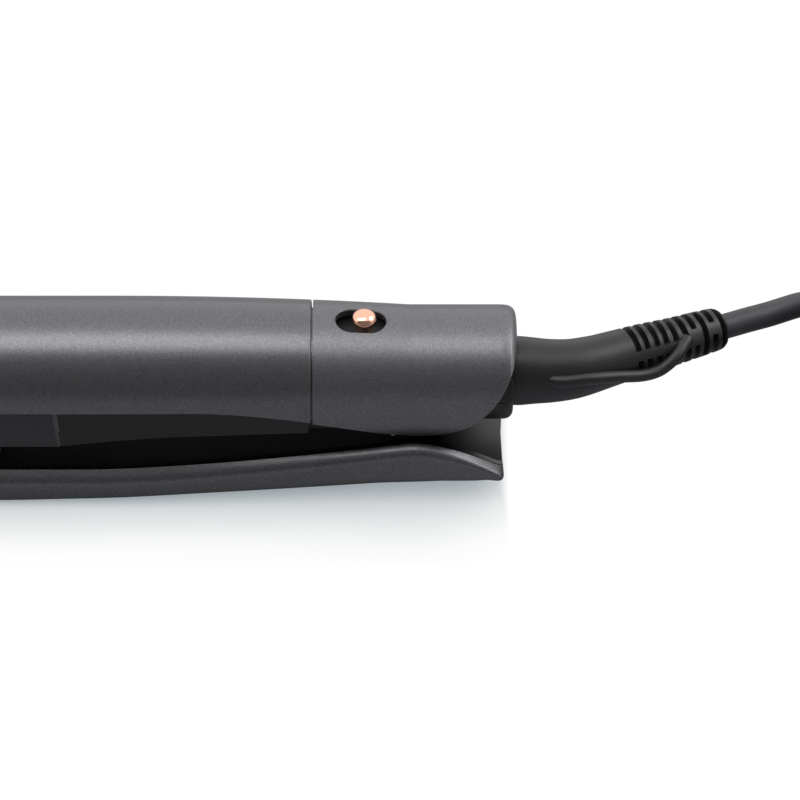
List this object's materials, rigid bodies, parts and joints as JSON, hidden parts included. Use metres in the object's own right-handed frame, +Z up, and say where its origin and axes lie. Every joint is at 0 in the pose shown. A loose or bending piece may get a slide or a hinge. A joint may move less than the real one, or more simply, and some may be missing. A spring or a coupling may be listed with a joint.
{
  "type": "steam hair straightener",
  "caption": "Two hinged arms with heating plates, a lift-off water tank with a sliding latch, push buttons and a mains lead on a swivel, lying closed on a table.",
  "frame": {"origin": "on the table, under the middle of the box round the closed arms, the mains lead left out", "axes": "+X along the arms towards the mains lead, +Y along the hinge pin to the far side, +Z up from the lower arm to the upper arm"},
  "size_m": [0.4825, 0.0912, 0.0473],
  "materials": {
    "charcoal_paint": "metallic charcoal paint with a fine sparkle, satin",
    "black_plastic": "fine matte grain",
    "grey_plastic": "satin, heat-proof",
    "window_black": "high gloss black",
    "copper_plate": "polished copper plate",
    "plate_coating": "smooth ceramic coating",
    "bare_aluminium": "extruded",
    "bright_steel": "bright",
    "bronze": "sintered",
    "boiler_brass": "plain",
    "white_plastic": "plain",
    "smoke_plastic": "smoke tinted",
    "board_green": "solder mask",
    "silicone_red": "matte",
    "seal_rubber": "matte",
    "lead_pvc": "matte flexible sheath",
    "nickel": "nickel plate"
  },
  "bodies": {
    "lower_arm": {"lower_casing": "charcoal_paint", "lower_liner": "black_plastic", "lower_housing": "black_plastic", "lower_tip": "black_plastic", "plate_pads": "silicone_red", "hinge_pin": "bright_steel", "hinge_spring": "bright_steel", "hinge_bushes": "bronze", "lower_screws": "bright_steel"},
    "floating_plate": {"lower_plate": "plate_coating", "lower_heater": "bare_aluminium"},
    "upper_arm": {"chassis": "black_plastic", "collar_cap": "black_plastic", "upper_casing": "charcoal_paint", "upper_housing": "grey_plastic", "upper_tip": "black_plastic", "upper_plate": "plate_coating", "upper_heater": "bare_aluminium", "steam_bar": "bare_aluminium", "steam_chamber": "boiler_brass", "water_pump": "white_plastic", "water_pipe": "white_plastic", "water_seal": "seal_rubber", "circuit_board": "board_green", "display_window": "window_black", "upper_screws": "bright_steel"},
    "power_key": {"power_button": "copper_plate"},
    "plus_key": {"plus_button": "black_plastic"},
    "minus_key": {"minus_button": "black_plastic"},
    "steam_key": {"steam_button": "black_plastic"},
    "tank": {"tank_shell": "charcoal_paint", "tank_vessel": "smoke_plastic", "tank_valve": "white_plastic"},
    "latch": {"latch_slide": "black_plastic", "latch_knob": "copper_plate"},
    "mains_lead": {"lead_relief": "lead_pvc", "lead_run": "lead_pvc", "lead_coil": "lead_pvc", "coil_tie": "black_plastic", "lead_tail": "lead_pvc", "plug_body": "lead_pvc", "plug_pins": "nickel"}
  },
  "joints": [
    {"name": "arm_hinge", "type": "hinge", "parent": "lower_arm", "child": "upper_arm", "pos_m": [0.128, 0, 0.0148], "axis": [0, 1, 0], "range_deg": [0, 18]},
    {"name": "plate_float", "type": "slide", "parent": "lower_arm", "child": "floating_plate", "axis": [0, 0, -1], "range_m": [0, 0.001], "stiffness_N_per_m": 3000, "springref_m": -0.001},
    {"name": "power_press", "type": "slide", "parent": "upper_arm", "child": "power_key", "axis": [0, 0, -1], "range_m": [0, 0.0005], "stiffness_N_per_m": 400, "springref_m": -0.0005},
    {"name": "plus_press", "type": "slide", "parent": "upper_arm", "child": "plus_key", "axis": [0, 0, -1], "range_m": [0, 0.0005], "stiffness_N_per_m": 400, "springref_m": -0.0005},
    {"name": "minus_press", "type": "slide", "parent": "upper_arm", "child": "minus_key", "axis": [0, 0, -1], "range_m": [0, 0.0005], "stiffness_N_per_m": 400, "springref_m": -0.0005},
    {"name": "steam_press", "type": "slide", "parent": "upper_arm", "child": "steam_key", "axis": [0, 0, -1], "range_m": [0, 0.0005], "stiffness_N_per_m": 400, "springref_m": -0.0005},
    {"name": "tank_lift", "type": "slide", "parent": "upper_arm", "child": "tank", "axis": [0, 0, 1], "range_m": [0, 0.045]},
    {"name": "latch_travel", "type": "slide", "parent": "tank", "child": "latch", "axis": [-1, 0, 0], "range_m": [0, 0.0028], "stiffness_N_per_m": 300, "springref_m": -0.002},
    {"name": "lead_swivel", "type": "hinge", "parent": "upper_arm", "child": "mains_lead", "pos_m": [0.15, 0, 0.0284], "axis": [1, 0, 0], "continuous": true}
  ]
}
